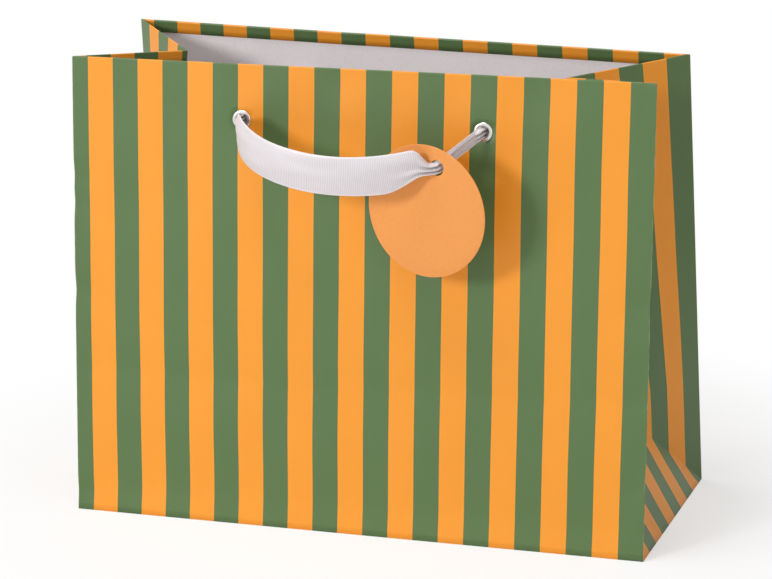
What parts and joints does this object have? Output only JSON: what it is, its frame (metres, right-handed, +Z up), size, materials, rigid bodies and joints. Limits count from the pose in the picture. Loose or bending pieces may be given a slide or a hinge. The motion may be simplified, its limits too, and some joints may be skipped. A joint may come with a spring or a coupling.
{
  "type": "gift bag",
  "caption": "Landscape striped paper gift bag with pinched side gussets, eyelets, flat ribbon handles and a round hanging tag.",
  "frame": {"origin": "middle of the bag's flat bottom, on the surface it stands on", "axes": "+X to the right along the width, -Y out of the front face, +Z up"},
  "size_m": [0.28, 0.1551, 0.2197],
  "materials": {
    "striped_paper": "satin laminated print, green and orange stripes",
    "plain_paper": "uncoated white back of the printed paper",
    "white_card": "matt white card",
    "grey_board": "matt pale board",
    "eyelet_metal": "bright nickel plate",
    "ribbon": "silver-white ribbed satin ribbon",
    "tag_card": "matt apricot card"
  },
  "bodies": {
    "bag": {"back_left_eyelet": "eyelet_metal", "back_left_eyelet_washer": "eyelet_metal", "back_left_ribbon_knot": "ribbon", "back_right_eyelet": "eyelet_metal", "back_right_eyelet_washer": "eyelet_metal", "back_right_ribbon_knot": "ribbon", "back_rim_card": "white_card", "back_rim_hem": "striped_paper", "back_seam_flap": "plain_paper", "back_wall": "striped_paper", "base_card": "grey_board", "bottom_inner_flap": "striped_paper", "bottom_outer_flap": "striped_paper", "front_left_eyelet": "eyelet_metal", "front_left_eyelet_washer": "eyelet_metal", "front_left_ribbon_knot": "ribbon", "front_right_eyelet": "eyelet_metal", "front_right_eyelet_washer": "eyelet_metal", "front_right_ribbon_knot": "ribbon", "front_rim_card": "white_card", "front_rim_hem": "striped_paper", "front_wall": "striped_paper", "left_bottom_end_flap": "plain_paper", "left_gusset_back_hem": "striped_paper", "left_gusset_back_lower_leaf": "striped_paper", "left_gusset_back_upper_leaf": "striped_paper", "left_gusset_foot": "striped_paper", "left_gusset_front_hem": "striped_paper", "left_gusset_front_lower_leaf": "striped_paper", "left_gusset_front_upper_leaf": "striped_paper", "right_bottom_end_flap": "plain_paper", "right_gusset_back_hem": "striped_paper", "right_gusset_back_lower_leaf": "striped_paper", "right_gusset_back_upper_leaf": "striped_paper", "right_gusset_foot": "striped_paper", "right_gusset_front_hem": "striped_paper", "right_gusset_front_lower_leaf": "striped_paper", "right_gusset_front_upper_leaf": "striped_paper"},
    "front_handle": {"front_ribbon_handle": "ribbon"},
    "back_handle": {"back_ribbon_handle": "ribbon"},
    "tag": {"gift_tag": "tag_card"}
  },
  "joints": [
    {"name": "front_handle_swing", "type": "hinge", "parent": "bag", "child": "front_handle", "pos_m": [0.00209, -0.04293, 0.19333], "axis": [0.9997, 0.0252, -0.0021], "range_deg": [-100, 4]},
    {"name": "back_handle_swing", "type": "hinge", "parent": "bag", "child": "back_handle", "pos_m": [0.00215, 0.04377, 0.19333], "axis": [0.999, -0.0441, -0.0035], "range_deg": [-38, 100]},
    {"name": "tag_swing", "type": "hinge", "parent": "front_handle", "child": "tag", "pos_m": [0.04607, -0.06426, 0.1818], "axis": [0.7907, 0.5502, 0.2685], "range_deg": [-45, 14]}
  ]
}
